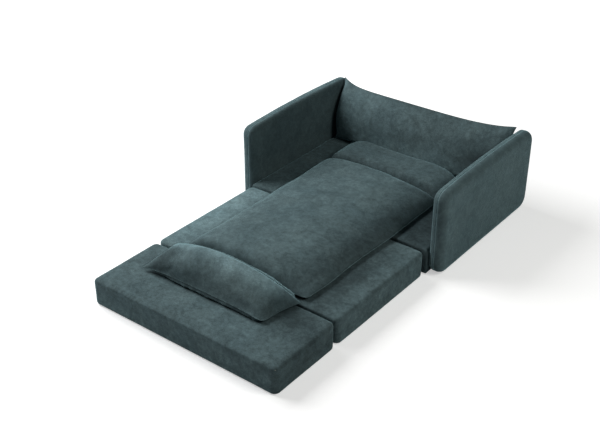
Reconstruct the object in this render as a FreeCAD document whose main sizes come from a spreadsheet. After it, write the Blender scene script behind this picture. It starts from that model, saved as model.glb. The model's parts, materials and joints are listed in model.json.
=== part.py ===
import FreeCAD, Part
import math
import os
import Sketcher

# Single sofa bed, unfolded. Millimetres, +Z up, the foot of the bed faces -Y.

SIZES = {
    # Lengths along the bed
    "foot_depth": 440.0,
    "seat_depth": 748.0,
    "base_depth": 900.0,
    "hinge_gap": 12.0,
    # Upholstered sections
    "section_width": 1150.0,
    "section_height": 148.5,
    "section_corner": 34.0,
    "section_edge": 22.0,
    "section_low_bevel": 9.0,
    "padding_thick": 13.0,
    "board_thick": 24.0,
    # Fixed base between the arms
    "arm_clearance": 5.0,
    "glide_height": 4.0,
    "glide_width": 28.0,
    "glide_inset": 150.0,
    "dust_cloth_thick": 1.0,
    "rail_height": 92.0,
    "rail_thick": 22.0,
    "deck_thick": 9.0,
    # Arms
    "arm_length": 958.5,
    "arm_inner_thick": 30.0,
    "arm_outer_thick": 50.0,
    "arm_front_top": 478.0,
    "arm_rear_top": 486.0,
    "arm_crown": 15.0,
    "arm_front_corner": 53.0,
    "arm_rear_corner": 69.0,
    "arm_low_front_corner": 70.0,
    "arm_low_rear_corner": 76.0,
    "arm_inner_edge": 25.0,
    "arm_outer_edge": 42.0,
    "seam_bevel": 2.5,
    "core_thick": 15.0,
    "core_side_inset": 60.0,
    "core_top_inset": 30.0,
    # Back
    "back_front_thick": 27.0,
    "back_rear_thick": 38.0,
    "back_height": 424.0,
    "back_corner": 40.0,
    "back_front_edge": 20.0,
    "back_rear_edge": 30.0,
    # Fold-out hinges
    "seat_axis_rise": 1.0,
    "foot_axis_height": 7.0,
    "pin_radius": 2.5,
    "knuckle_play": 0.3,
    "knuckle_side_play": 0.5,
    "hinge_width": 96.0,
    "hinge_place": 300.0,
    "leaf_thick": 2.0,
    "leaf_reach": 15.0,
    # Flat bars that join the arms and the back to the base
    "strap_width": 40.0,
    "strap_thick": 2.0,
    "strap_inset": 230.0,
    "back_strap_spread": 360.0,
    # Soft goods
    "rest_gap": 0.3,
    "topper_width": 776.0,
    "topper_rear_setback": 447.0,
    "topper_thick": 84.0,
    "topper_crown": 12.0,
    "topper_roll": 44.0,
    "topper_shift": 10.0,
    "topper_setback": 22.0,
    "relief_play": 3.0,
    "head_width": 790.0,
    "head_depth": 259.0,
    "head_thick": 72.0,
    "head_crown": 10.0,
    "head_roll": 34.0,
    "head_shift": 10.0,
    "pillow_width": 796.0,
    "pillow_depth": 262.0,
    "pillow_top_rise": 100.0,
    "pillow_low_rise": 38.0,
    "pillow_tilt": 6.5,
    "pillow_shift": 24.0,
    "pillow_seam": 3.0,
    "pillow_side_draw": 8.0,
    "pillow_end_draw": 10.0,
    "cushion_side_play": 4.0,
    "cushion_height": 377.0,
    "cushion_front_rise": 95.0,
    "cushion_rear_rise": 60.0,
    "cushion_lean": 19.5,
    "cushion_seam": 3.0,
    "cushion_side_draw": 34.0,
    "cushion_end_draw": 5.0,
    # Cutting tools run this far past the faces they cut
    "overrun": 5.0,
}

# Bevels that touch a quarter round at 45 degrees and at 22.5 degrees to its faces
EDGE_BAND_SHARE = 0.5858
EDGE_SOFT_SHARE = 0.2153

# Stations of the lofts, as shares of the half width or of the end roll; the pillows' crowd to the ends
PILLOW_STATIONS = 14
PILLOW_CROWD_SHARE = 1.7
PILLOW_POWER_SHARE = 2.6
PILLOW_ROUND_SHARE = 0.6
PILLOW_DRAW_SHARE = 6.0
PILLOW_END_SHARE = 4.0
MESH_FINENESS_SHARE = 0.001
ROLL_STATION_SHARES = (0.0, 0.12, 0.45, 1.0)
ROLL_TOP_SHARES = (0.62, 0.8, 0.95, 1.0)
ROLL_WIDTH_SHARES = (0.5, 0.22, 0.05, 0.0)
CROWN_END_SHARES = (0.1, 0.3, 0.6, 0.8)
SIDE_BULGE_SHARE = 0.42
SIDE_FOOT_SHARE = 0.5


class Size:
    """A length that knows both its value and the cells it follows."""

    def __init__(self, text, value):
        self.text = text
        self.value = float(value)

    def __float__(self):
        return self.value

    def __neg__(self):
        return Size("-(" + self.text + ")", -self.value)

    def __add__(self, other):
        other = as_size(other)
        return Size("(" + self.text + " + " + other.text + ")", self.value + other.value)

    def __sub__(self, other):
        other = as_size(other)
        return Size("(" + self.text + " - " + other.text + ")", self.value - other.value)

    def __mul__(self, other):
        other = as_size(other)
        return Size("(" + self.text + " * " + other.text + ")", self.value * other.value)

    def __truediv__(self, other):
        other = as_size(other)
        return Size("(" + self.text + " / " + other.text + ")", self.value / other.value)

    __radd__ = __add__
    __rmul__ = __mul__


def as_size(value):
    if isinstance(value, Size):
        return value
    return Size(repr(float(value)), value)


class Sizes:
    """The named cells, read as attributes."""


def fill_sheet():
    sheet = doc.addObject("Spreadsheet::Sheet", "sizes")
    named = Sizes()
    for row, (name, value) in enumerate(SIZES.items(), start=1):
        cell = "B" + str(row)
        sheet.set("A" + str(row), name)
        sheet.set(cell, str(value))
        sheet.setAlias(cell, name)
        setattr(named, name, Size("sizes." + name, value))
    doc.recompute()
    return named


def bind(thing, prop, size):
    thing.setExpression(prop, as_size(size).text)


def origin_plane(body, role):
    return [item for item in body.Origin.OriginFeatures if item.Role == role][0]


def new_body(name):
    body = doc.addObject("PartDesign::Body", name)
    body.Label = name
    return body


def new_sketch(body, name, role, height):
    sketch = body.newObject("Sketcher::SketchObject", name)
    sketch.AttachmentSupport = [(origin_plane(body, role), "")]
    sketch.MapMode = "FlatFace"
    bind(sketch, "AttachmentOffset.Base.z", height)
    return sketch


def draw_outline(sketch, points, arcs=()):
    """Closed outline through points, each pinned to the sheet; arcs maps an edge to its sagitta."""
    arcs = dict(arcs)
    total = len(points)
    vectors = [FreeCAD.Vector(float(px), float(py), 0) for px, py in points]
    for index in range(total):
        start = vectors[index]
        end = vectors[(index + 1) % total]
        if index in arcs:
            middle = (start + end) * 0.5 + FreeCAD.Vector(0, float(arcs[index]), 0)
            sketch.addGeometry(Part.Arc(start, middle, end), False)
        else:
            sketch.addGeometry(Part.LineSegment(start, end), False)
    ends = []
    for index in range(total):
        geometry = sketch.Geometry[index]
        forward = geometry.StartPoint.distanceToPoint(vectors[index]) < geometry.EndPoint.distanceToPoint(
            vectors[index])
        ends.append((1, 2) if forward else (2, 1))
    for index in range(total):
        follower = (index + 1) % total
        sketch.addConstraint(
            Sketcher.Constraint("Coincident", index, ends[index][1], follower, ends[follower][0]))
    for index, (px, py) in enumerate(points):
        for kind, size in (("DistanceX", px), ("DistanceY", py)):
            number = sketch.addConstraint(
                Sketcher.Constraint(kind, -1, 1, index, ends[index][0], float(size)))
            bind(sketch, "Constraints[" + str(number) + "]", size)
    for index, sagitta in arcs.items():
        start, end = points[index], points[(index + 1) % total]
        across = start[0] - end[0]
        radius = (across * across / 4 + sagitta * sagitta) / (sagitta * 2)
        number = sketch.addConstraint(Sketcher.Constraint("Radius", index, float(radius)))
        bind(sketch, "Constraints[" + str(number) + "]", radius)


def pad(body, name, sketch, length):
    feature = body.newObject("PartDesign::Pad", name)
    feature.Profile = sketch
    bind(feature, "Length", length)
    sketch.Visibility = False
    doc.recompute()
    return feature


def round_edges(body, name, radius, wanted):
    base = body.Tip
    names = ["Edge" + str(number) for number, edge in enumerate(base.Shape.Edges, start=1)
             if wanted(edge)]
    if not names:
        raise ValueError(name + " found no edges")
    feature = body.newObject("PartDesign::Fillet", name)
    feature.Base = (base, names)
    bind(feature, "Radius", radius)
    doc.recompute()
    body.Tip = feature
    return feature


def bevel_edges(body, name, size, wanted):
    base = body.Tip
    names = ["Edge" + str(number) for number, edge in enumerate(base.Shape.Edges, start=1)
             if wanted(edge)]
    if not names:
        raise ValueError(name + " found no edges")
    feature = body.newObject("PartDesign::Chamfer", name)
    feature.Base = (base, names)
    bind(feature, "Size", size)
    doc.recompute()
    body.Tip = feature
    return feature


def roll_edges(body, name, radius, axis, place, inward, skip=None):
    """Roll the rim of a flat face with three bands that follow a quarter round.

    The face lies across the axis at place and the solid goes on inward from it; skip tells which
    edges stay sharp."""
    behind = place + radius * EDGE_BAND_SHARE * inward
    for part, share, level in (("_middle", EDGE_BAND_SHARE, place), ("_front", EDGE_SOFT_SHARE, place),
                               ("_side", EDGE_SOFT_SHARE, behind)):
        rim = flat_on(axis, level)
        bevel_edges(body, name + part, radius * share,
                    lambda edge: rim(edge) and not (skip and skip(edge)))


def flat_on(axis, place):
    """Edges lying wholly in one plane across the given axis."""
    def wanted(edge):
        box = edge.BoundBox
        low = (box.XMin, box.YMin, box.ZMin)[axis]
        high = (box.XMax, box.YMax, box.ZMax)[axis]
        return abs(low - float(place)) < TOLERANCE and abs(high - float(place)) < TOLERANCE
    return wanted


def along(axis, corner=None):
    """Straight edges running along one axis, at one corner if it is given."""
    def wanted(edge):
        if len(edge.Vertexes) != 2 or edge.Curve.TypeId != "Part::GeomLine":
            return False
        start, end = edge.Vertexes[0].Point, edge.Vertexes[1].Point
        others = [number for number in range(3) if number != axis]
        if any(abs(start[number] - end[number]) > TOLERANCE for number in others):
            return False
        if corner is None:
            return True
        return all(abs(start[number] - float(place)) < TOLERANCE
                   for number, place in zip(others, corner))
    return wanted


def rectangle(left, right, near, far):
    return [(left, near), (right, near), (right, far), (left, far)]


def box_body(name, left, right, near, far, low, high):
    body = new_body(name)
    sketch = new_sketch(body, name + "_plan", "XY_Plane", low)
    draw_outline(sketch, rectangle(left, right, near, far))
    pad(body, name + "_pad", sketch, high - low)
    return body


def soft_block(name, half_width, near, far, high):
    """A block with rounded plan corners, a soft top edge and a bevelled foot, standing on the floor."""
    body = box_body(name, -half_width, half_width, near, far, as_size(0), high)
    round_edges(body, name + "_corners", s.section_corner, along(2))
    roll_edges(body, name + "_top_edge", s.section_edge, 2, high, -1)
    bevel_edges(body, name + "_low_edge", s.section_low_bevel, flat_on(2, as_size(0)))
    return body


def box(name, left, right, near, far, low, high):
    item = doc.addObject("Part::Box", name)
    bind(item, "Length", right - left)
    bind(item, "Width", far - near)
    bind(item, "Height", high - low)
    bind(item, "Placement.Base.x", left)
    bind(item, "Placement.Base.y", near)
    bind(item, "Placement.Base.z", low)
    return item


def rod(name, axis, start, radius, length):
    """A cylinder from a start point along +X, +Y or +Z."""
    turn = {
        "x": FreeCAD.Rotation(FreeCAD.Vector(0, 1, 0), 90),
        "y": FreeCAD.Rotation(FreeCAD.Vector(1, 0, 0), -90),
        "z": FreeCAD.Rotation(),
    }
    item = doc.addObject("Part::Cylinder", name)
    item.Placement = FreeCAD.Placement(FreeCAD.Vector(), turn[axis])
    bind(item, "Radius", radius)
    bind(item, "Height", length)
    for letter, place in zip("xyz", start):
        bind(item, "Placement.Base." + letter, place)
    return item


def fuse(name, items):
    item = doc.addObject("Part::MultiFuse", name)
    item.Shapes = items
    item.Refine = True
    return item


def cut(name, base, tools):
    item = doc.addObject("Part::Cut", name)
    item.Base = base
    item.Tool = tools[0] if len(tools) == 1 else fuse(name + "_tools", tools)
    item.Label = name
    return item


def mirrored(name, source):
    item = doc.addObject("Part::Mirroring", name)
    item.Source = source
    item.Normal = FreeCAD.Vector(1, 0, 0)
    item.Label = name
    return item


def group(name, items):
    item = doc.addObject("Part::Compound", name)
    item.Links = items
    item.Label = name
    return item


def both_sides(name, item):
    return group(name, [item, mirrored(name + "_other", item)])


def shape_piece(name, shape):
    item = doc.addObject("Part::Feature", name)
    item.Shape = shape
    item.Label = name
    return item


# Places worked out from the sizes

TOLERANCE = 0.01
doc = FreeCAD.newDocument("single_sofa_bed")
s = fill_sheet()

bed_length = (s.foot_depth + s.hinge_gap + s.seat_depth + s.hinge_gap + s.base_depth
              + s.back_front_thick + s.back_rear_thick)
foot_front = -bed_length / 2
foot_rear = foot_front + s.foot_depth
seat_front = foot_rear + s.hinge_gap
seat_rear = seat_front + s.seat_depth
base_front = seat_rear + s.hinge_gap
base_rear = base_front + s.base_depth
bed_rear = bed_length / 2
arm_front = bed_rear - s.arm_length
half_section = s.section_width / 2
half_base = half_section + s.arm_clearance
arm_seam = half_base + s.arm_inner_thick
arm_outside = arm_seam + s.arm_outer_thick
back_seam = base_rear + s.back_front_thick
board_middle = s.section_height / 2
board_low = board_middle - s.board_thick / 2
board_high = board_middle + s.board_thick / 2
seat_axis_y = seat_rear + s.hinge_gap / 2
seat_axis_z = s.section_height + s.seat_axis_rise
foot_axis_y = foot_rear + s.hinge_gap / 2
knuckle_radius = s.hinge_gap / 2
rail_low = s.glide_height + s.dust_cloth_thick
rail_high = rail_low + s.rail_height
deck_high = rail_high + s.deck_thick
base_top = s.section_height
soft_floor = s.section_height + s.rest_gap
base_inner_half = half_base - s.padding_thick
base_inner_near = base_front + s.padding_thick
base_inner_far = base_rear - s.padding_thick
topper_near = seat_front + s.topper_setback
topper_far = base_rear - s.topper_rear_setback


def section_pieces(prefix, near, far):
    """Padded cover, two foams and the board of one folding section."""
    inner_half = half_section - s.padding_thick
    inner_near, inner_far = near + s.padding_thick, far - s.padding_thick
    inner_low, inner_high = s.padding_thick, s.section_height - s.padding_thick

    def layer(name, low, high):
        return box_body(prefix + name, -inner_half, inner_half, inner_near, inner_far, low, high)

    outside = soft_block(prefix + "_outside", half_section, near, far, s.section_height)
    return [
        cut(prefix + "_cover", outside, [layer("_inside", inner_low, inner_high)]),
        layer("_top_foam", board_high, inner_high),
        layer("_board", board_low, board_high),
        layer("_bottom_foam", inner_low, board_low),
    ]


def base_pieces():
    """Upholstered box that stays on the floor between the arms."""
    inner_high = base_top - s.padding_thick
    rail_half = base_inner_half - s.rail_thick
    middle = (base_front + base_rear) / 2

    def layer(name, low, high):
        return box_body(name, -base_inner_half, base_inner_half, base_inner_near, base_inner_far, low, high)

    def cross_member(name, near):
        return box_body(name, -rail_half, rail_half, near, near + s.rail_thick, rail_low, rail_high)

    outside = box_body("base_outside", -half_base, half_base, base_front, base_rear, s.glide_height,
                       base_top)
    round_edges(outside, "base_outside_top_edge", s.section_edge, flat_on(2, base_top))
    inside = layer("base_inside", s.glide_height - s.overrun, inner_high)
    side = box_body("base_side_rail_right", rail_half, base_inner_half, base_inner_near, base_inner_far,
                    rail_low, rail_high)
    return [
        cut("base_cover", outside, [inside]),
        layer("base_foam", deck_high, inner_high),
        layer("base_deck", rail_high, deck_high),
        layer("base_dust_cloth", s.glide_height, rail_low),
        side,
        mirrored("base_side_rail_left", side),
        cross_member("base_front_rail", base_inner_near),
        cross_member("base_rear_rail", base_inner_far - s.rail_thick),
        cross_member("base_cross_rail", middle - s.rail_thick / 2),
    ]


def arm_slab(name, inside, outside):
    """One upright slab of an arm with a crowned top and its four corners rounded."""
    body = new_body(name)
    sketch = new_sketch(body, name + "_side", "YZ_Plane", inside)
    outline = [(arm_front, s.glide_height), (bed_rear, s.glide_height), (bed_rear, s.arm_rear_top),
               (arm_front, s.arm_front_top)]
    draw_outline(sketch, outline, {2: s.arm_crown})
    pad(body, name + "_pad", sketch, outside - inside)
    corners = (s.arm_low_front_corner, s.arm_low_rear_corner, s.arm_rear_corner, s.arm_front_corner)
    for number, (place, radius) in enumerate(zip(outline, corners)):
        round_edges(body, name + "_corner_" + str(number), radius, along(0, place))
    return body


def arm_pieces():
    """Core board, inner pad and outer pad of the right arm, and their mirror images."""
    core_far = arm_seam + s.core_thick
    core_near_end = arm_front + s.core_side_inset
    core_rear_end = bed_rear - s.core_side_inset
    core_top = s.arm_front_top - s.core_top_inset
    inner = arm_slab("arm_inner_pad_right", half_base, arm_seam)
    roll_edges(inner, "arm_inner_face_edge", s.arm_inner_edge, 0, half_base, 1)
    bevel_edges(inner, "arm_inner_seam_edge", s.seam_bevel, flat_on(0, arm_seam))
    outer = arm_slab("arm_outer_slab", arm_seam, arm_outside)
    roll_edges(outer, "arm_outer_face_edge", s.arm_outer_edge, 0, arm_outside, -1)
    bevel_edges(outer, "arm_outer_seam_edge", s.seam_bevel, flat_on(0, arm_seam))
    core = box_body("arm_core_right", arm_seam, core_far, core_near_end, core_rear_end, s.glide_height,
                    core_top)
    space = box("arm_core_space", arm_seam - s.overrun, core_far, core_near_end, core_rear_end,
                s.glide_height - s.overrun, core_top)
    pieces = [inner, core, cut("arm_outer_pad_right", outer, [space])]
    return pieces + [mirrored(item.Label.replace("right", "left"), item) for item in pieces]


def back_slab(name, near, far):
    body = box_body(name, -half_base, half_base, near, far, s.glide_height, s.back_height)
    for number, side in enumerate((1, -1)):
        round_edges(body, name + "_corner_" + str(number), s.back_corner,
                    along(1, (half_base * side, s.back_height)))
    return body


def back_pieces():
    """Core board and two pads that close the bed behind, between the arms."""
    core_far = back_seam + s.core_thick
    core_half = half_base - s.core_side_inset
    core_top = s.back_height - s.core_top_inset
    front = back_slab("back_front_pad", base_rear, back_seam)
    foot = flat_on(2, s.glide_height)
    roll_edges(front, "back_front_face_edge", s.back_front_edge, 1, base_rear, 1, foot)
    rear = back_slab("back_rear_slab", back_seam, bed_rear)
    roll_edges(rear, "back_rear_face_edge", s.back_rear_edge, 1, bed_rear, -1, foot)
    core = box_body("back_core", -core_half, core_half, back_seam, core_far, s.glide_height, core_top)
    space = box("back_core_space", -core_half, core_half, back_seam - s.overrun, core_far,
                s.glide_height - s.overrun, core_top)
    return [front, core, cut("back_rear_pad", rear, [space])]


def glide_group():
    """Plastic glides under the arms and the base."""
    rear = bed_rear - s.glide_inset
    places = [(arm_seam, arm_front + s.glide_inset), (arm_seam, rear), (half_base - s.glide_inset, rear)]
    half = s.glide_width / 2
    feet = [box("glide_" + str(number), px - half, px + half, py - half, py + half, as_size(0),
                s.glide_height) for number, (px, py) in enumerate(places)]
    return both_sides("floor_glides", group("floor_glides_right", feet))


def strap_group():
    """Flat steel bars under the base that hold the cores of the arms and of the back."""
    low = s.glide_height - s.strap_thick
    start = base_inner_half - s.rail_thick
    rows = (base_front + s.strap_inset, base_rear - s.strap_inset)
    bars = [box("arm_strap_" + str(number), start, arm_seam + s.core_thick, row - s.strap_width / 2,
                row + s.strap_width / 2, low, s.glide_height) for number, row in enumerate(rows)]
    bars.append(box("back_strap", s.back_strap_spread - s.strap_width / 2,
                    s.back_strap_spread + s.strap_width / 2, base_inner_far - s.rail_thick,
                    back_seam + s.core_thick, low, s.glide_height))
    return both_sides("joining_straps", group("joining_straps_right", bars))


def hinge_leaf(name, near, axis_y, axis_z, rises, holds_pin):
    """One leaf against a section's end face, near being its low Y face.

    The leaf that holds the pin has the two outer knuckles, the other turns on the pin between them."""
    left = s.hinge_place - s.hinge_width / 2
    right = s.hinge_place + s.hinge_width / 2
    share = s.hinge_width / 3
    if rises:
        low, high = axis_z, board_middle + s.leaf_reach
    else:
        low, high = board_middle - s.leaf_reach, axis_z
    plate = box_body(name + "_plate", left, right, near, near + s.leaf_thick, low, high)
    spans = [(left, left + share), (right - share, right)]
    gaps = [(left + share - s.knuckle_side_play, right - share + s.knuckle_side_play)]
    if not holds_pin:
        spans = [(left + share + s.knuckle_side_play, right - share - s.knuckle_side_play)]
        gaps = [(left - s.overrun, left + share + s.knuckle_side_play),
                (right - share - s.knuckle_side_play, right + s.overrun)]
    knuckles = [rod(name + "_knuckle_" + str(number), "x", (start, axis_y, axis_z), knuckle_radius,
                    end - start) for number, (start, end) in enumerate(spans)]
    slots = [box(name + "_slot_" + str(number), start, end, near - s.overrun,
                 near + s.leaf_thick + s.overrun, axis_z - knuckle_radius - s.knuckle_side_play,
                 axis_z + knuckle_radius + s.knuckle_side_play) for number, (start, end) in enumerate(gaps)]
    plate = cut(name + "_slotted", plate, slots)
    if holds_pin:
        pin = rod(name + "_pin", "x", (left, axis_y, axis_z), s.pin_radius, s.hinge_width)
        return fuse(name + "_one", [plate, pin] + knuckles)
    bore = rod(name + "_bore", "x", (left - s.overrun, axis_y, axis_z),
               s.pin_radius + s.knuckle_play, s.hinge_width + s.overrun * 2)
    return cut(name + "_one", fuse(name + "_solid", [plate] + knuckles), [bore])


def hinge_pieces():
    """Butt hinges at the top of the rear gap and at the bottom of the front gap."""
    thick = s.leaf_thick
    upper = hinge_leaf("seat_hinge_upper", seat_rear, seat_axis_y, seat_axis_z, False, True)
    lower = hinge_leaf("seat_hinge_lower", base_front - thick, seat_axis_y, seat_axis_z, False, False)
    rear = hinge_leaf("foot_hinge_rear", seat_front - thick, foot_axis_y, s.foot_axis_height, True,
                      True)
    front = hinge_leaf("foot_hinge_front", foot_rear, foot_axis_y, s.foot_axis_height, True, False)
    return [
        both_sides("seat_hinge_upper_leaves", upper),
        both_sides("seat_hinge_lower_leaves", lower),
        both_sides("foot_hinge_rear_leaves", rear),
        both_sides("foot_hinge_front_leaves", front),
    ]


def point(px, py, pz):
    return FreeCAD.Vector(float(px), float(py), float(pz))


def pad_section(half_width, roll, side_top, crown, at):
    """Flat below, rolled sides and a crowned top, drawn across the bed."""
    foot = half_width - roll * SIDE_FOOT_SHARE
    shoulder = half_width - roll
    bulge = side_top * SIDE_BULGE_SHARE
    corners = [point(-foot, at, 0), point(foot, at, 0), point(shoulder, at, side_top),
               point(-shoulder, at, side_top)]
    return Part.Wire([
        Part.makeLine(corners[0], corners[1]),
        Part.Arc(corners[1], point(half_width, at, bulge), corners[2]).toShape(),
        Part.Arc(corners[2], point(0, at, side_top + crown), corners[3]).toShape(),
        Part.Arc(corners[3], point(-half_width, at, bulge), corners[0]).toShape(),
    ])


def soft_pad(width, length, thick, crown, roll):
    """A long pad that lies flat, with rolled edges all round and a crown."""
    near_end, far_end = [], []
    for share, top, narrow, rise in zip(ROLL_STATION_SHARES, ROLL_TOP_SHARES, ROLL_WIDTH_SHARES,
                                        CROWN_END_SHARES):
        for wires, at in ((near_end, roll * share), (far_end, length - roll * share)):
            wires.append(pad_section(width / 2 - roll * narrow, roll, thick * top, crown * rise, at))
    middle = pad_section(width / 2, roll, thick, crown, length / 2)
    return Part.makeLoft(near_end + [middle] + list(reversed(far_end)), True, True)


def pillow_section(half_width, half_depth, top_rise, low_rise, seam, side_draw, end_draw, share):
    """Two shallow bows that meet at the seam on both long sides of a pillow."""
    size = abs(share)
    full = (1 - size ** PILLOW_POWER_SHARE) ** PILLOW_ROUND_SHARE
    at = half_width * share
    middle = at - math.copysign(end_draw * size ** PILLOW_END_SHARE, share)
    reach = half_depth - side_draw * (1 - size ** PILLOW_DRAW_SHARE)
    top = point(middle, 0, seam + top_rise * full)
    low = point(middle, 0, -seam - low_rise * full)
    corners = [point(at, -reach, seam), point(at, reach, seam), point(at, reach, -seam),
               point(at, -reach, -seam)]
    upper = Part.Arc(corners[0], top, corners[1]).toShape()
    lower = Part.Arc(corners[2], low, corners[3]).toShape()
    return upper, Part.makeLine(corners[1], corners[2]), lower, Part.makeLine(corners[3], corners[0])


def pillow(width, depth, top_rise, low_rise, seam, side_draw, end_draw):
    """A knife edge pillow: crowned both ways, sides drawn in between pointed corners."""
    outward = [1 - (1 - number / PILLOW_STATIONS) ** PILLOW_CROWD_SHARE
               for number in range(PILLOW_STATIONS + 1)]
    shares = [-share for share in reversed(outward[1:])] + outward
    sections = [pillow_section(width / 2, depth / 2, top_rise, low_rise, seam, side_draw, end_draw,
                               share) for share in shares]
    skin = Part.makeLoft([Part.Wire(list(edges)) for edges in sections], False, True)
    faces = list(skin.Faces)
    for edges in (sections[0], sections[-1]):
        faces.append(Part.makeRuledSurface(edges[0], edges[2]))
    shell = Part.Shell(faces)
    shell.sewShape()
    solid = Part.Solid(shell)
    if solid.Volume < 0:
        solid.reverse()
    return solid


def placed(shape, angle, px, py, pz):
    """Turn a shape about the X axis and set it down at a place."""
    turned = shape.copy()
    turned.rotate(FreeCAD.Vector(), FreeCAD.Vector(1, 0, 0), float(angle))
    turned.translate(point(px, py, pz))
    return turned


def reach_of(shape):
    """The farthest point to the rear and the lowest point of a shape, read from a fine mesh."""
    points = shape.tessellate(float(s.section_height) * MESH_FINENESS_SHARE)[0]
    return max(spot.y for spot in points), min(spot.z for spot in points)


def soft_goods():
    """Topper, head pillow, foot pillow and back cushion, all lying loose."""
    topper = soft_pad(float(s.topper_width), float(topper_far - topper_near), float(s.topper_thick),
                      float(s.topper_crown), float(s.topper_roll))
    topper = placed(topper, 0, -s.topper_shift, topper_near, soft_floor)
    dent_half = knuckle_radius + s.relief_play
    dents = []
    for side in (1, -1):
        middle = s.hinge_place * side
        corner = point(middle - s.hinge_width / 2 - s.relief_play, seat_axis_y - dent_half,
                       s.section_height - s.overrun)
        dents.append(Part.makeBox(float(s.hinge_width + s.relief_play * 2), float(dent_half * 2),
                                  float(s.overrun + s.seat_axis_rise + knuckle_radius + s.rest_gap * 2),
                                  corner))
    topper = topper.cut(dents)
    head = soft_pad(float(s.head_width), float(s.head_depth), float(s.head_thick),
                    float(s.head_crown), float(s.head_roll))
    head = placed(head, 0, -s.head_shift, topper_far + s.rest_gap, soft_floor)
    rest = pillow(float(s.pillow_width), float(s.pillow_depth), float(s.pillow_top_rise),
                  float(s.pillow_low_rise), float(s.pillow_seam), float(s.pillow_side_draw),
                  float(s.pillow_end_draw))
    rest = placed(rest, s.pillow_tilt, -s.pillow_shift, 0, 0)
    reach, low = reach_of(rest)
    rest.translate(point(0, topper_near - reach - s.rest_gap, soft_floor - low))
    cushion = pillow(float((half_base - s.cushion_side_play) * 2), float(s.cushion_height),
                     float(s.cushion_front_rise), float(s.cushion_rear_rise), float(s.cushion_seam),
                     float(s.cushion_side_draw), float(s.cushion_end_draw))
    # The lean is measured from upright; the top of the pillow turns to the back of the bed
    cushion = placed(cushion, 90, 0, 0, 0)
    cushion = placed(cushion, -s.cushion_lean, 0, 0, 0)
    reach, low = reach_of(cushion)
    cushion.translate(point(0, base_rear - reach - s.rest_gap, soft_floor - low))
    return [shape_piece("topper", topper), shape_piece("head_pillow", head),
            shape_piece("foot_pillow", rest), shape_piece("back_cushion", cushion)]


def write_pieces(pieces):
    """Recompute, check every object and write one STEP file for each piece."""
    doc.recompute()
    for item in doc.Objects:
        if "Invalid" in item.State or "Error" in item.State:
            raise ValueError(item.Name + " is in error")
    os.makedirs("parts", exist_ok=True)
    for item in pieces:
        shape = item.Shape
        if shape.isNull() or not shape.isValid() or not shape.Solids:
            raise ValueError(item.Label + " has no sound shape")
        shape.exportStep("parts/" + item.Label + ".step")
        print(item.Label, len(shape.Solids), round(shape.Volume))


pieces = base_pieces() + arm_pieces() + back_pieces() + [glide_group(), strap_group()]
pieces += section_pieces("seat", seat_front, seat_rear)
pieces += section_pieces("foot", foot_front, foot_rear)
pieces += hinge_pieces() + soft_goods()
write_pieces(pieces)
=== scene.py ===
import json
import math

import bmesh
import bpy
from mathutils import Euler, Matrix, Vector, noise


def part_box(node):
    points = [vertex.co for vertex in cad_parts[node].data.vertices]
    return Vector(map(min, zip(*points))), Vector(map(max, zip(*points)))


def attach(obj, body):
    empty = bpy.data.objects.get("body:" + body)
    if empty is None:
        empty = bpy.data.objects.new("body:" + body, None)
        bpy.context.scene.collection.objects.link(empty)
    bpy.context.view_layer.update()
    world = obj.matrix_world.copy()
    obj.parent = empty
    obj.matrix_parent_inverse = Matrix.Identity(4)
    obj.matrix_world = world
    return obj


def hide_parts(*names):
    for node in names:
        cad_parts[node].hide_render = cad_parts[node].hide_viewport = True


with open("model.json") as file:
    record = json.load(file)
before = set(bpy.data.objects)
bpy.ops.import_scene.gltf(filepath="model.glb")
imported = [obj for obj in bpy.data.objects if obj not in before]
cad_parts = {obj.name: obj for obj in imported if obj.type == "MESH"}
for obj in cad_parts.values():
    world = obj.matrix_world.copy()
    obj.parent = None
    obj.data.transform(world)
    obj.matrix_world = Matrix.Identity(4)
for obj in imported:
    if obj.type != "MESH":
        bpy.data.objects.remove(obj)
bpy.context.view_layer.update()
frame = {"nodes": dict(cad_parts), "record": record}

# Sizes are in metres: X runs across the bed, Y to its rear and Z up. Powers shape a fall towards a
# rim: the higher the power, the closer to the rim it drops.

# Mesh: cells of the upholstered blocks and of their rolled rims, the share of a side that belongs to
# a corner, the least radius of a corner drawn in, how late a face's grid turns from square to round,
# and the angle in degrees that stays sharp on a CAD node

CELL = 0.016
ROLL_CELL = 0.005
CORNER_SHARE = 1 / 6
LEAST_RADIUS = 0.002
FACE_BLEND = 4
SHARP_ANGLE = 35

# Hollows of the padding: shift of the noise per seed, spread and share of the finer ones

SEED_STEPS = (7.1, 3.7, 5.3)
FINE_SPREAD = 0.3
FINE_SHARE = 0.25

# Folding sections and base: plan corners, rolled edges above and below, sag of a section's rim with
# its powers across and along the bed, and the hollows (depth, spread)

SECTION_CORNER = 0.034
SECTION_EDGE = 0.020
SECTION_FOOT_EDGE = 0.012
SECTION_SAG = 0.006
SECTION_SAG_POWERS = (10, 6)
SECTION_HOLLOWS = (0.0026, 0.14)
BASE_CORNER = 0.006
BASE_FOOT_EDGE = 0.004
BASE_HOLLOWS = (0.0022, 0.16)

# Joints between the blocks: zone in which two covers press each other shut, the share of the rolled
# edge that is left there, and the power by which it opens again towards the ends

JOINT_REACH = 0.040
JOINT_KEEP = 0.45
JOINT_END_POWER = 8

# Arms: heights of the top, its crown, the outline's corners from the front's foot over the top to the
# rear's foot, the rolled edges towards the bed, along the seam and outside, and the hollows

ARM_FRONT_TOP = 0.478
ARM_REAR_TOP = 0.486
ARM_CROWN = 0.015
ARM_CORNERS = (0.070, 0.053, 0.069, 0.076)
ARM_INNER_EDGE = 0.024
ARM_SEAM_EDGE = 0.004
ARM_OUTER_EDGE = 0.040
ARM_HOLLOWS = (0.0024, 0.14)

# Places of the right arm, whose two pads meet at the seam

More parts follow.
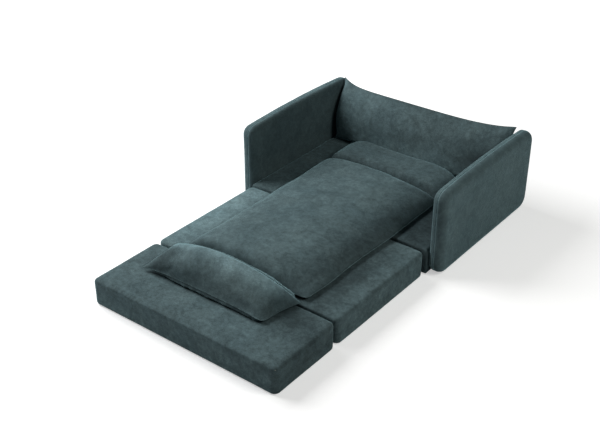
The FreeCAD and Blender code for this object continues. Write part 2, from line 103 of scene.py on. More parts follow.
arm_low, arm_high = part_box("arm_outer_pad_right")
ARM_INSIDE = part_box("arm_inner_pad_right")[0].x
ARM_SEAM = arm_low.x
ARM_OUTSIDE = arm_high.x
ARM_LENGTH = arm_high.y - arm_low.y
BED_REAR = arm_high.y
GLIDE_TOP = arm_low.z

# Back: corners at the top and the foot, rolled edges of its front, its seam and its rear, hollows

BACK_CORNER = 0.040
BACK_FOOT_CORNER = 0.006
BACK_FRONT_EDGE = 0.018
BACK_SEAM_EDGE = 0.004
BACK_REAR_EDGE = 0.028
BACK_HOLLOWS = (0.002, 0.15)

# Lying pads: height of the seam round them; waves of their edges, their rate along x and y and from
# pad to pad, gain, inward shift and power; roots of the upper panel's fall across and along, and
# powers and root of the lower panel's

PAD_RIM = 0.015
PAD_WAVE = 0.012
PAD_WAVE_RATE = (6.2, 4.6, 10)
PAD_WAVE_GAIN = 0.7
PAD_WAVE_SHIFT = 0.3
PAD_WAVE_POWER = 4
PAD_ROOTS = (0.68, 0.55)
PAD_UNDER_POWERS = (26, 40)
PAD_UNDER_ROOT = 0.5

# Each pad: its cells, plan corners, powers of the fall to the left, right, front and rear, how far
# and over what reach it thins out at its front right corner, and how far its rear is pressed in

TOPPER_FORM = {"cell": 0.012, "corner": 0.022, "powers": (3.4, 2.0, 40, 44), "thinning": 0.80,
               "thin_reach": 0.11}
HEAD_FORM = {"cell": 0.010, "corner": 0.060, "powers": (7.0, 4.5, 9, 40), "rear_press": 0.008}

# Foot pillow, a bolster with knife edges. Its seam: corners from the front left round to the rear
# left, bow of the rear seam, which is the crest, bow of the front seam, how the front right corner is
# rounded off, and how far the right end is drawn in, each with its powers

BOLSTER_CORNERS = ((-0.431, -0.8848, 0.166), (0.328, -0.882, 0.166), (0.368, -0.645, 0.164),
                   (-0.362, -0.705, 0.243))
BOLSTER_BOW = (0, -0.0135, 0.080)
BOLSTER_BOW_POWERS = (2.2, 1.5)
BOLSTER_FRONT_BOW = (0, 0.012, 0.010)
BOLSTER_FRONT_POWER = 4
BOLSTER_ROUNDING = (-0.016, 0.014, 0.0)
BOLSTER_ROUNDING_POWER = 14
BOLSTER_END_DRAW = 0.010
BOLSTER_END_POWER = 6

# Its upper panel: crown above the chord from seam to seam, powers of its rise from the crest and from
# the front and where these peak, its fall to both ends, and the dents (place along and across, widths
# along and across, depth) with their fall to the seams

BOLSTER_CROWN = 0.050
BOLSTER_CROWN_POWERS = (0.55, 0.8)
BOLSTER_CROWN_PEAK = 0.401
BOLSTER_UPPER_FALL = (3.0, 7.0, 0.6)
BOLSTER_DENTS = ((-0.62, 0.3, 0.17, 0.6, 0.013), (-0.02, 0.45, 0.10, 0.4, 0.007),
                 (0.70, 0.6, 0.12, 0.5, 0.005))
BOLSTER_DENT_FALL = (4, 4, 1)

# Its lower panel: path at the middle from the crest down to the topper and along it to the front seam
# (y, z), its fall to both ends, and the ripple of its foot (depth, waves along it, place in the noise)

BOLSTER_UNDER = ((-0.702, 0.291), (-0.664, 0.262), (-0.632, 0.222), (-0.618, 0.182),
                 (-0.634, 0.155), (-0.690, 0.149), (-0.760, 0.149), (-0.830, 0.149),
                 (-0.872, 0.149), (-0.884, 0.159), (-0.871, 0.176))
BOLSTER_UNDER_FALL = (3.2, 12.0, 0.6)
BOLSTER_RIPPLE = 0.006
BOLSTER_RIPPLE_WAVES = 15
BOLSTER_RIPPLE_PLACE = 3.0
BOLSTER_CELL = 0.010
BOLSTER_SPARE_ROWS = 8

# Back cushion: half sizes of the seam's rectangle, bulge to the front and to the rear, slump of the
# belly, the low share of its height over which it rounds off to the sole, its fall to both ends, the
# zone in which its front is eased, the lean in degrees, and its cells

CUSHION_HALF = (0.580, 0.1885)
CUSHION_FRONT = 0.072
CUSHION_REAR = 0.060
CUSHION_SLUMP = 0.020
CUSHION_SOLE = 0.05
CUSHION_FALL = (12, 9, 0.5)
CUSHION_EASE = 0.05
CUSHION_LEAN = 19.5
CUSHION_CELL = 0.012
CUSHION_SPARE_ROWS = 4

# Its seams: how far the top one is drawn down, the share of that by which the foot's is drawn up,
# powers of the draw towards the left and right ears, how far both ends and the left one's foot are
# drawn in, and how far the ends stand out between their corners, with their powers

CUSHION_DRAW = 0.040
CUSHION_FOOT_SHARE = 0.3
CUSHION_EARS = (8, 3.2)
CUSHION_END_DRAW = 0.016
CUSHION_END_POWER = 30
CUSHION_FOOT_DRAW = 0.025
CUSHION_WIDENING = 0.06
CUSHION_WIDENING_POWER = 16
CUSHION_SIDE_POWER = 4

# Its left end, where the belly stands higher: where that starts and its run, height and power of that
# belly, and how far it takes over

CUSHION_LEFT_START = -0.55
CUSHION_LEFT_RUN = 0.4
CUSHION_LEFT_BELLY = 1.15
CUSHION_LEFT_POWER = 0.8
CUSHION_LEFT_SHARE = 0.7

# Filling: frames and cloth of the simulation, the share of the cap that a sewn rim may move, for each
# loose piece the pressure, the cap, the depth of its lumps and how far it may leave its CAD node's
# space, and the spread of the lumps

SIM_FRAMES = 20
CLOTH = {"quality": 5, "mass": 0.3, "tension_stiffness": 12, "compression_stiffness": 8,
         "shear_stiffness": 4, "bending_stiffness": 0.4, "use_pressure": True}
RIM_SHARE = 1 / 4
FILLING = {
    "topper": (1.5, 0.008, 0.012, 0.009),
    "head_pillow": (1.5, 0.008, 0.006, 0.006),
    "foot_pillow": (3.0, 0.007, 0.006, 0.009),
    "back_cushion": (3.0, 0.010, 0.010, 0.005),
}
LUMP_SPREAD = 0.18

# Sewn panels: how far their rows crowd to the rims. Corded seams: radius, sides, and the level share
# of a cord's run up to which it counts as upright

CROWDING = 0.45
SEAM_RADIUS = 0.0016
SEAM_SIDES = 8
SEAM_UPRIGHT = 0.2

# Screws: a head's radius, height, sides and profile from its middle to its rim (shares of both), reach
# and width of its cross recess; three screws along a hinge leaf, two across each end of a strap

SCREW_RADIUS = 0.0042
SCREW_HEIGHT = 0.0012
SCREW_SIDES = 16
SCREW_PROFILE = ((0.0, 0.45), (0.30, 0.50), (0.42, 0.98), (0.70, 0.90), (0.92, 0.62), (1.0, 0.25),
                 (1.0, 0.0))
RECESS_REACH = 0.5
RECESS_WIDTH = 0.35
LEAF_SPREAD = 0.034
LEAF_WIDTH = 0.096
LEAF_THICK = 0.002
STRAP_WIDTH = 0.040
STRAP_REAR_ROW = 0.7935
BACK_STRAP = 0.360
STRAP_SPREAD = 0.011
STRAP_END = 0.009

# Hinge leaves: the hinge, the board behind the leaf, the leaf's body, whether it lies at the rear of
# its hinge, and the way its screws face along Y

HINGE_LEAVES = (
    ("seat_hinge_upper", "seat_board", "seat_section", False, 1),
    ("seat_hinge_lower", "seat_board", "base", True, -1),
    ("foot_hinge_rear", "seat_board", "seat_section", True, -1),
    ("foot_hinge_front", "foot_board", "foot_section", False, 1),
)

# Colours, linear

TEAL = (0.056, 0.088, 0.097)
TEAL_WORN = (0.084, 0.124, 0.131)
SHEEN_TINT = (0.42, 0.70, 0.77)

# Velvet: its layers of noise (scale, detail, roughness, distortion), the grey tones they give (ramp
# from, to, how far below and above 1), where an edge counts as worn and how much that shows, its
# gloss, and its bumps

PATCHES = (4.5, 3, 0.55, 0.6)
BRUSHED = (15.0, 4, 0.6, 0.8)
NAP = (48.0, 5, 0.7, 0.3)
PILE = (260.0, 3, 0.7, 0.0)
FIBRE = (900.0, 2, 0.7, 0.0)
PATCHES_RAMP = (0.32, 0.72)
BRUSHED_TONES = (0.35, 0.68, 0.24, 0.27)
NAP_TONES = (0.3, 0.75, 0.37, 0.36)
PILE_TONES = (0.3, 0.7, 0.35, 0.33)
WORN_RAMP = (0.42, 0.62)
WORN_SHARE = 0.35
VELVET_SPECULAR = 0.12
VELVET_ROUGHNESS = (0.82, 1.0)
SHEEN_WEIGHT = 0.7
SHEEN_ROUGHNESS = 0.34
FIBRE_BUMP = {"Strength": 0.35, "Distance": 0.0008}
PILE_BUMP = {"Strength": 0.4, "Distance": 0.0022}

# Small parts' finishes: detail of the grain, its ramp, spread of the roughness, strength of the bump

GRAIN_DETAIL = 5
GRAIN_RAMP = (0.3, 0.7)
ROUGHNESS_SPREAD = 0.08
GRAIN_BUMP = 0.4

# Painted light and shade, in spots: middle, reach along each axis, strength (painted light above 0,
# painted shade below). They stand in for the shadows cast by the topper, the foot pillow and the arms,
# for shade on faces turned from the light and for light on faces turned to it

ALL_ALONG = 9.0
SEAT_PAINTED_SHADING = (
    ((-0.52, -0.25, 0.15), (0.13, 0.45, 0.5), 0.9),
    ((0.43, -0.35, 0.15), (0.07, 0.5, 0.1), -0.45),
)
FOOT_PAINTED_SHADING = (
    ((0.575, -0.87, 0.07), (0.03, 0.4, 0.1), -0.3),
    ((0.28, -0.95, 0.15), (0.2, 0.1, 0.5), 0.2),
    ((0.43, -0.77, 0.15), (0.11, 0.11, 0.1), -0.45),
)
BASE_PAINTED_SHADE = (
    ((0.48, 0.50, 0.15), (0.13, 0.6, 0.5), -0.65),
)
ARM_PAINTED_SHADING = (
    ((0.67, 0.5, 0.2), (0.02, ALL_ALONG, ALL_ALONG), 0.15),
    ((-0.57, 0.5, 0.2), (0.02, ALL_ALONG, ALL_ALONG), -0.2),
)
LOOSE_PAINTED_SHADING = {
    "topper": (
        ((0.33, 0.0, 0.2), (0.13, 0.8, 0.5), -0.42),
        ((-0.36, 0.0, 0.2), (0.10, 0.8, 0.5), -0.18),
    ),
    "head_pillow": (
        ((0.0, 0.7, 0.2), (1.0, 1.0, 1.0), -0.2),
    ),
    # The foot pillow's first four spots are a painted highlight along its crest
    "foot_pillow": (
        ((-0.28, -0.727, 0.275), (0.11, 0.040, 0.040), 0.90),
        ((-0.12, -0.727, 0.290), (0.13, 0.045, 0.040), 0.80),
        ((0.05, -0.725, 0.285), (0.13, 0.050, 0.040), 0.90),
        ((0.20, -0.712, 0.255), (0.11, 0.050, 0.040), 1.00),
        ((0.05, -0.840, 0.200), (0.45, 0.060, 0.060), -0.15),
        ((-0.34, -0.80, 0.21), (0.07, 0.15, 0.1), -0.45),
    ),
    "back_cushion": (
        ((-0.57, 0.9, 0.38), (0.04, 1.0, 0.2), 0.50),
        ((-0.45, 0.9, 0.38), (0.20, 1.0, 0.14), 0.40),
        ((0.49, 0.9, 0.22), (0.24, 1.0, 0.18), -0.75),
        ((0.0, 0.9, 0.38), (0.35, 1.0, 0.16), -0.2),
        ((0.0, 0.85, 0.20), (0.6, 1.0, 0.06), 0.8),
    ),
}

# Painted highlight along both arms' seams: its reach beside a seam and its strength

ARM_PAINTED_HIGHLIGHT_REACH = 0.0045
ARM_PAINTED_HIGHLIGHT_STRENGTH = 1.8

# Floor: half its side, how far it lies below the glides, its glow for the camera near the bed, and
# the distances from which that rises and at which it reaches white

FLOOR_REACH = 30.0
FLOOR_DROP = 0.0005
FLOOR_PAINT = (0.8, 0.8, 0.8, 1)
FLOOR_LIFT = 0.47
FLOOR_NEAR = 1.6
FLOOR_FAR = 3.6

# Lights: colour and strength of the world's, and each softbox's place, side, power and colour

WHITE = (1, 1, 1, 1)
WORLD_COLOUR = (0.93, 0.97, 1.0, 1)
WORLD_LIGHT = 0.05
LIGHT_TARGET = (0, 0, 0.1)
SOFTBOXES = (
    ("key", (-3.83, -0.60, 3.25), 4.0, 345, (1.0, 1.0, 1.0)),
    ("fill", (3.5, 0.3, 3.6), 2.0, 78, (1.0, 1.0, 0.95)),
)

# Camera: sensor and lens in millimetres, angles in degrees

SENSOR_WIDTH = 36.0
LENS = 60.14
CAMERA_PLACE = (2.69775, -3.65677, 2.85331)
CAMERA_TILT = 59.5
CAMERA_TURN = 37.8
CAMERA_REACH = 100.0


# Meshes

def side_point(main, along, half_main, half_along, start_radius, end_radius):
    """Place, off and along one side of a rounded rectangle, for a point on the unit square's rim."""
    out = math.copysign(1, main)
    t = (along + 1) / 2
    if CORNER_SHARE <= t <= 1 - CORNER_SHARE:
        straight = half_along * 2 - start_radius - end_radius
        way = start_radius + straight * (t - CORNER_SHARE) / (1 - 2 * CORNER_SHARE)
        return half_main * out, -half_along + way
    if t < CORNER_SHARE:
        radius, turn, where = start_radius, math.pi / 4 * (1 - t / CORNER_SHARE), -1
    else:
        radius, turn, where = end_radius, math.pi / 4 * ((t - 1 + CORNER_SHARE) / CORNER_SHARE), 1
    off = half_main - radius + radius * math.cos(turn)
    return off * out, (half_along - radius + radius * math.sin(turn)) * where


def outline_point(a, b, half_u, half_v, radii):
    """Place on a rounded rectangle for a point (a, b) on the unit square's rim.

    radii are the corners' in the order low near, high near, high far, low far, where near is -u
    and low is -v."""
    low_near, high_near, high_far, low_far = radii
    if abs(a) >= abs(b):
        radius_pair = (low_near, high_near) if a < 0 else (low_far, high_far)
        return side_point(a, b, half_u, half_v, *radius_pair)
    radius_pair = (low_near, low_far) if b < 0 else (high_near, high_far)
    v, u = side_point(b, a, half_v, half_u, *radius_pair)
    return u, v


def mesh_from(bm, name):
    mesh = bpy.data.meshes.new(name)
    bm.to_mesh(mesh)
    bm.free()
    return mesh


def join_rings(bm, ring, following):
    """A band of faces between two rings of as many points."""
    for k in range(len(ring)):
        other = (k + 1) % len(ring)
        bm.faces.new((ring[k], ring[other], following[other], following[k]))


def fill_grid(bm, grid, count_u, count_v, flip):
    """The faces of a grid of points."""
    for i in range(count_u):
        for j in range(count_v):
            corners = [grid[i, j], grid[i + 1, j], grid[i + 1, j + 1], grid[i, j + 1]]
            bm.faces.new(corners[::-1] if flip else corners)


def grid_rim(grid, count_u, count_v):
    """The points round a grid, from its first corner along u."""
    rim = [grid[i, 0] for i in range(count_u)]
    rim += [grid[count_u, j] for j in range(count_v)]
    rim += [grid[i, count_v] for i in range(count_u, 0, -1)]
    rim += [grid[0, j] for j in range(count_v, 0, -1)]
    return rim


def slab_mesh(name, size, radii, front_edge, back_edge):
    """A soft slab in u, v, w: a rounded outline in u and v, thick in w, with both faces' rims rolled.

    front_edge rolls the rim at high w and back_edge the rim at low w."""
    half_u, half_v, thick = size[0] / 2, size[1] / 2, size[2]
    cells_u = max(12, round(size[0] / CELL))
    cells_v = max(12, round(size[1] / CELL))
    square = {(i, j): (-1 + 2 * i / cells_u, -1 + 2 * j / cells_v)
              for i in range(cells_u + 1) for j in range(cells_v + 1)}
    bm = bmesh.new()

    def rim(inset, w):
        """One ring round the slab, drawn in by inset."""
        ring = []
        kept = [max(radius - inset, LEAST_RADIUS) for radius in radii]
        for a, b in grid_rim(square, cells_u, cells_v):
            u, v = outline_point(a, b, half_u - inset, half_v - inset, kept)
            ring.append(bm.verts.new((u, v, w)))
        return ring

    def face(edge, w, flip):
        """The flat middle of one face, whose rim is returned as a ring."""
        grid = {}
        kept = [max(radius - edge, LEAST_RADIUS) for radius in radii]
        for spot, (a, b) in square.items():
            reach = max(abs(a), abs(b))
            u, v = 0.0, 0.0
            if reach > 1e-6:
                u, v = outline_point(a / reach, b / reach, half_u - edge, half_v - edge, kept)
                blend = reach ** FACE_BLEND
                u = u * reach * blend + a * (half_u - edge) * (1 - blend)
                v = v * reach * blend + b * (half_v - edge) * (1 - blend)
            grid[spot] = bm.verts.new((u, v, w))
        fill_grid(bm, grid, cells_u, cells_v, flip)
        return grid_rim(grid, cells_u, cells_v)

    def roll(edge, top):
        """Rings of a rolled rim, from the side's end to just outside the flat face."""
        count = max(2, round(edge / ROLL_CELL))
        rings = []
        for k in range(count):
            angle = math.pi / 2 * k / count
            rise = edge * math.sin(angle)
            w = thick - edge + rise if top else edge - rise
            rings.append(rim(edge * (1 - math.cos(angle)), w))
        return rings

    rings = [face(back_edge, 0.0, True)]
    rings += list(reversed(roll(back_edge, False)))
    side_height = thick - front_edge - back_edge
    side_count = max(1, round(side_height / CELL))
    for k in range(1, side_count):
        rings.append(rim(0.0, back_edge + side_height * k / side_count))
    rings += roll(front_edge, True)
    rings.append(face(front_edge, thick, False))
    for lower, upper in zip(rings, rings[1:]):
        join_rings(bm, lower, upper)
    return mesh_from(bm, name)


def soften(mesh, depth, spread, seed, held=(), level=1.0):
    """Small hollows and swells in the padding; held points stay.

    At level 1 nothing leaves the piece's own skin, at level 0 hollows and swells balance."""
    offset = Vector([seed * step for step in SEED_STEPS])
    mesh.update()
    normals = [Vector(v.normal) for v in mesh.vertices]
    for vert, normal in zip(mesh.vertices, normals):
        if vert.index in held:
            continue
        wave = noise.noise(Vector(vert.co) / spread + offset)
        fine = noise.noise(Vector(vert.co) / (spread * FINE_SPREAD) + offset)
        inward = (wave * (1 - FINE_SHARE) + fine * FINE_SHARE - level) / 2 * depth
        vert.co = vert.co + normal * inward


def paint_light_and_shade(mesh, light_and_shade_spots):
    """Note on every point its painted light (above 0) and painted shade (below 0)."""
    # The attribute named nap holds the painted light and shade
    nap = mesh.attributes.new("nap", "FLOAT", "POINT")
    for vert in mesh.vertices:
        total = 0.0
        for middle, reach, strength in light_and_shade_spots:
            far = sum(((vert.co[k] - middle[k]) / reach[k]) ** 2 for k in range(3))
            total += strength * math.exp(-far)
        nap.data[vert.index].value = total


def shade_smooth(mesh):
    mesh.polygons.foreach_set("use_smooth", [True] * len(mesh.polygons))


# Pieces

def new_object(data):
    """An object of its data's name, in the scene."""
    obj = bpy.data.objects.new(data.name, data)
    bpy.context.scene.collection.objects.link(obj)
    return obj


def dress(obj, body, material):
    """Give a finished piece its material and let it ride its body."""
    obj.data.materials.append(material)
    shade_smooth(obj.data)
    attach(obj, body)


def stand_for(obj, node_name):
    """Round off a soft piece that takes the place of its CAD node."""
    subdivision = obj.modifiers.new("smooth", "SUBSURF")
    subdivision.levels = 1
    subdivision.render_levels = 1
    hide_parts(node_name)


def upholster(mesh, body, node_name, material):
    """Put a soft block in place of its CAD node."""
    piece = new_object(mesh)
    dress(piece, body, material)
    stand_for(piece, node_name)


# Materials

def node(tree, kind, place, inputs=None, **settings):
    """Add a shader node. An input is given as a number, a colour or another node's output."""
    item = tree.nodes.new(kind)
    item.location = place
    for key, setting in settings.items():
        setattr(item, key, setting)
    for key, value in (inputs or {}).items():
        if isinstance(value, bpy.types.NodeSocket):
            tree.links.new(value, item.inputs[key])
        else:
            item.inputs[key].default_value = value
    return item


def ramp(tree, place, source, positions, low, high):
    """Colours from low to high between two positions on a source."""
    item = node(tree, "ShaderNodeValToRGB", place, {"Fac": source})
    for k, colour in enumerate((low, high)):
        item.color_ramp.elements[k].position = positions[k]
        item.color_ramp.elements[k].color = (*colour, 1)
    return item.outputs["Color"]


def grey_ramp(tree, place, source, tones, contrast):
    """A grey factor round 1 on a source."""
    start, end, below, above = tones
    return ramp(tree, place, source, (start, end), [1 - below * contrast] * 3, [1 + above * contrast] * 3)


def mixed(tree, place, first, second, share=1.0, kind="MULTIPLY"):
    """Two colours blended by a share."""
    return node(tree, "ShaderNodeMix", place, {"Factor": share, "A": first, "B": second},
                data_type="RGBA", blend_type=kind).outputs["Result"]


def worked_out(tree, place, operation, first, second, clamp=False):
    """A number worked out from two."""
    return node(tree, "ShaderNodeMath", place, {0: first, 1: second}, operation=operation,
                use_clamp=clamp).outputs["Value"]


def new_material(name):
    """A node material whose tree is empty."""
    material = bpy.data.materials.new(name)
    material.use_nodes = True
    material.node_tree.nodes.clear()
    return material


def velvet(name, colour, light, contrast=1.0, pile_scale=1.0):
    """Cut pile cloth: mottled nap, brushed patches, worn edges, a fine pile bump and a soft sheen.

    Painted light and shade from a mesh's nap attribute makes its colour and sheen lighter or darker."""
    material = new_material(name)
    tree = material.node_tree
    place = node(tree, "ShaderNodeTexCoord", (-1300, 0)).outputs["Object"]

    def cloud(y, layer, finer=1.0):
        scale, detail, roughness, distortion = layer
        return node(tree, "ShaderNodeTexNoise", (-1000, y),
                    {"Vector": place, "Scale": scale * finer, "Detail": detail, "Roughness": roughness,
                     "Distortion": distortion}).outputs["Fac"]

    nap = cloud(100, NAP)
    pile = cloud(-100, PILE, pile_scale)
    fibre = cloud(-300, FIBRE, pile_scale)
    patches = ramp(tree, (-700, 300), cloud(300, PATCHES), PATCHES_RAMP, colour, light)
    brushed = grey_ramp(tree, (-700, 520), cloud(500, BRUSHED), BRUSHED_TONES, contrast)
    mottle = grey_ramp(tree, (-700, 60), nap, NAP_TONES, contrast)
    speck = grey_ramp(tree, (-700, -180), pile, PILE_TONES, contrast)
    tint = mixed(tree, (-350, 420), patches, brushed)
    mottled = mixed(tree, (-350, 200), tint, mottle)
    specked = mixed(tree, (-120, 120), mottled, speck)

    edge = node(tree, "ShaderNodeNewGeometry", (-700, -420)).outputs["Pointiness"]
    worn = ramp(tree, (-450, -420), edge, WORN_RAMP, (0, 0, 0), (1, 1, 1))
    worn_share = worked_out(tree, (-120, -300), "MULTIPLY", worn, WORN_SHARE)
    pile_tone = mixed(tree, (120, 60), specked, (*light, 1), worn_share, "MIX")

    # Painted light and shade: 1 plus the nap attribute scales the colour and the sheen
    painted_shading = node(tree, "ShaderNodeAttribute", (-120, 500), attribute_name="nap").outputs["Fac"]
    painted_shading_gain = worked_out(tree, (120, 500), "ADD", painted_shading, 1.0)
    sheen = worked_out(tree, (120, 700), "MULTIPLY", painted_shading_gain, mottle)
    sheen_weight = worked_out(tree, (340, 700), "MULTIPLY", sheen, SHEEN_WEIGHT, clamp=True)
    rough = node(tree, "ShaderNodeMapRange", (120, -160),
                 {"Value": nap, "To Min": VELVET_ROUGHNESS[0], "To Max": VELVET_ROUGHNESS[1]})
    fine = node(tree, "ShaderNodeBump", (120, -420), {**FIBRE_BUMP, "Height": fibre})
    coarse = node(tree, "ShaderNodeBump", (340, -420),
                  {**PILE_BUMP, "Height": pile, "Normal": fine.outputs["Normal"]})
    shader = node(tree, "ShaderNodeBsdfPrincipled", (600, 0),
                  {"Base Color": mixed(tree, (340, 240), pile_tone, painted_shading_gain),
                   "Roughness": rough.outputs["Result"], "Specular IOR Level": VELVET_SPECULAR,
                   "Sheen Weight": sheen_weight, "Sheen Roughness": SHEEN_ROUGHNESS,
                   "Sheen Tint": (*SHEEN_TINT, 1), "Normal": coarse.outputs["Normal"]})
    node(tree, "ShaderNodeOutputMaterial", (900, 0), {"Surface": shader.outputs["BSDF"]})
    return material


def toned(colour, factor):
    return [c * factor for c in colour]


def plain_finish(name, colour, roughness, grain_scale, variation, relief, metallic=0.0, stretch=(1, 1, 1)):
    """A grained finish for the small and hidden pieces."""
    material = new_material(name)
    tree = material.node_tree
    place = node(tree, "ShaderNodeTexCoord", (-900, 0)).outputs["Object"]
    mapping = node(tree, "ShaderNodeMapping", (-720, 0), {"Vector": place, "Scale": stretch})
    grain = node(tree, "ShaderNodeTexNoise", (-500, 0),
                 {"Vector": mapping.outputs["Vector"], "Scale": grain_scale,
                  "Detail": GRAIN_DETAIL}).outputs["Fac"]
    tone = ramp(tree, (-250, 100), grain, GRAIN_RAMP, toned(colour, 1 - variation),
                toned(colour, 1 + variation))
    rough = node(tree, "ShaderNodeMapRange", (-250, -150),
                 {"Value": grain, "To Min": roughness - ROUGHNESS_SPREAD,
                  "To Max": min(1.0, roughness + ROUGHNESS_SPREAD)})
    bump = node(tree, "ShaderNodeBump", (100, -250),
                {"Strength": GRAIN_BUMP, "Distance": relief, "Height": grain})
    shader = node(tree, "ShaderNodeBsdfPrincipled", (400, 0),
                  {"Base Color": tone, "Metallic": metallic, "Roughness": rough.outputs["Result"],
                   "Normal": bump.outputs["Normal"]})
    node(tree, "ShaderNodeOutputMaterial", (700, 0), {"Surface": shader.outputs["BSDF"]})
    return material


upholstery = velvet("upholstery_velvet", TEAL, TEAL_WORN)
arm_cloth = velvet("arm_velvet", TEAL, TEAL_WORN, 0.6)
cushion_cloth = velvet("cushion_velvet", toned(TEAL, 1.06), toned(TEAL_WORN, 1.08), 0.9)
seam_cloth = velvet("seam_welt", toned(TEAL, 1.1), toned(TEAL_WORN, 1.15), 1.0, 1.6)
zinc = plain_finish("zinc_steel", (0.55, 0.55, 0.54), 0.36, 180, 0.15, 0.0001, 1.0, (1, 12, 1))

SLOT_MATERIALS = {
    "upholstery": upholstery,
    "cushion_fabric": cushion_cloth,
    "foam": plain_finish("open_cell_foam", (0.72, 0.68, 0.55), 0.95, 300, 0.12, 0.0006),
    "board_wood": plain_finish("raw_plywood", (0.52, 0.37, 0.22), 0.7, 60, 0.2, 0.0003, 0.0, (1, 8, 1)),
    "dust_cloth": plain_finish("dust_cloth", (0.02, 0.02, 0.021), 0.95, 500, 0.3, 0.0004),
    "zinc_steel": zinc,
    "glide_plastic": plain_finish("glide_plastic", (0.02, 0.02, 0.02), 0.55, 200, 0.3, 0.0002),
}


def finish_nodes():
    """Every CAD node gets the finish of its record slot."""
    slots = {part["node"]: part["material_slot"] for part in frame["record"]["subparts"]}
    for name, obj in frame["nodes"].items():
        obj.data.materials.clear()
        obj.data.materials.append(SLOT_MATERIALS[slots[name]])
        shade_smooth(obj.data)
        obj.data.set_sharp_from_angle(angle=math.radians(SHARP_ANGLE))


# Upholstered blocks

def close_joint(vert, y, z, half_width):
    """Tighten the rolled edge of a cover along y, where two covers press together."""
    far = max(abs(vert.co.y - y), abs(vert.co.z - z)) / JOINT_REACH
    if far < 1:
        along = 1 - abs(vert.co.x / half_width) ** JOINT_END_POWER
        keep = 1 - (1 - JOINT_KEEP) * (1 - far * far) * along
        vert.co.y = y + (vert.co.y - y) * keep
        vert.co.z = z + (vert.co.z - z) * keep


def block_mesh(name, low, high, corner, foot_edge, joints):
    """A soft box between two corners, its top edge rolled and tightened at the joints' y."""
    mesh = slab_mesh(name, high - low, [corner] * 4, SECTION_EDGE, foot_edge)
    mesh.transform(Matrix.Translation(((low.x + high.x) / 2, (low.y + high.y) / 2, low.z)))
    for vert in mesh.vertices:
        for y in joints:
            close_joint(vert, y, high.z, high.x)
    return mesh


def section_piece(name, node_name, body, light_and_shade_spots):
    """One folding section, whose cover sags a little towards its rim."""
    low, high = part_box(node_name)
    size = high - low
    power_x, power_y = SECTION_SAG_POWERS
    mesh = block_mesh(name, low, high, SECTION_CORNER, SECTION_FOOT_EDGE, (low.y, high.y))
    for vert in mesh.vertices:
        a = (vert.co.x * 2 - low.x - high.x) / size.x
        b = (vert.co.y * 2 - low.y - high.y) / size.y
        share = (vert.co.z - low.z) / size.z
        vert.co.z -= SECTION_SAG * share * max(abs(a) ** power_x, abs(b) ** power_y)
    soften(mesh, *SECTION_HOLLOWS, len(name))
    # Painted light and shade on the section's cover
    paint_light_and_shade(mesh, light_and_shade_spots)
    upholster(mesh, body, node_name, upholstery)


def base_piece(name, node_name):
    """The fixed base, open below where the dust cloth closes it."""
    low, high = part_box(node_name)
    mesh = block_mesh(name, low, high, BASE_CORNER, BASE_FOOT_EDGE, (low.y,))
    soften(mesh, *BASE_HOLLOWS, 5)
    # Painted shade on the base beside the topper
    paint_light_and_shade(mesh, BASE_PAINTED_SHADE)
    upholster(mesh, "base", node_name, upholstery)


def arm_piece(side, pad, inside, outside, inner_edge, outer_edge, seed):
    """One pad of an arm, its top sloping back with a slight crown; the left arm mirrors the right."""
    length, height = ARM_LENGTH, ARM_FRONT_TOP - GLIDE_TOP
    mesh = slab_mesh(f"arm_{pad}_padding_{side}", (length, height, outside - inside), ARM_CORNERS,
                     outer_edge, inner_edge)
    for vert in mesh.vertices:
        u, v, w = vert.co
        share = (v + height / 2) / height
        t = u / length + 0.5
        lift = (ARM_REAR_TOP - ARM_FRONT_TOP) * t + ARM_CROWN * 4 * t * (1 - t)
        vert.co = (inside + w, BED_REAR - length / 2 + u, GLIDE_TOP + share * (height + lift))
    seam_x = ARM_SEAM
    if side == "left":
        mesh.transform(Matrix.Scale(-1, 4, (1, 0, 0)))
        mesh.flip_normals()
        seam_x = -ARM_SEAM
    soften(mesh, *ARM_HOLLOWS, seed)
    # A painted highlight along the seam, then painted light and shade on the arm's faces
    glow = ((seam_x, BED_REAR, 0), (ARM_PAINTED_HIGHLIGHT_REACH, ALL_ALONG, ALL_ALONG), ARM_PAINTED_HIGHLIGHT_STRENGTH)
    paint_light_and_shade(mesh, [glow, *ARM_PAINTED_SHADING])
    upholster(mesh, "base", f"arm_{pad}_pad_{side}", arm_cloth)


def back_piece(name, node_name, front_edge, rear_edge, seed):
    """One pad of the low back; u runs across the bed, v up and w to the rear."""
    low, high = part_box(node_name)
    size = high - low
    corners = (BACK_FOOT_CORNER, BACK_CORNER, BACK_CORNER, BACK_FOOT_CORNER)
    mesh = slab_mesh(name, (size.x, size.z, size.y), corners, rear_edge, front_edge)
    mesh.transform(Matrix(((-1, 0, 0, (low.x + high.x) / 2), (0, 0, 1, low.y),
                           (0, 1, 0, (low.z + high.z) / 2), (0, 0, 0, 1))))
    soften(mesh, *BACK_HOLLOWS, seed)
    upholster(mesh, "base", node_name, upholstery)


# Loose soft goods

def crowded(t):
    """Spread of the panel's rows, closer together near the rims."""
    return (1 - CROWDING) * t + CROWDING * math.sin(t * math.pi / 2)


def fall(t, low_power, high_power, root):
    """Height share that falls to nothing at both rims."""
    return (1 - abs(t) ** (low_power if t < 0 else high_power)) ** root


def smooth_step(t):
    """0 up to t = 0 and 1 from t = 1 on, with a soft start and end."""
    t = min(1.0, max(0.0, t))
    return t * t * (3 - 2 * t)


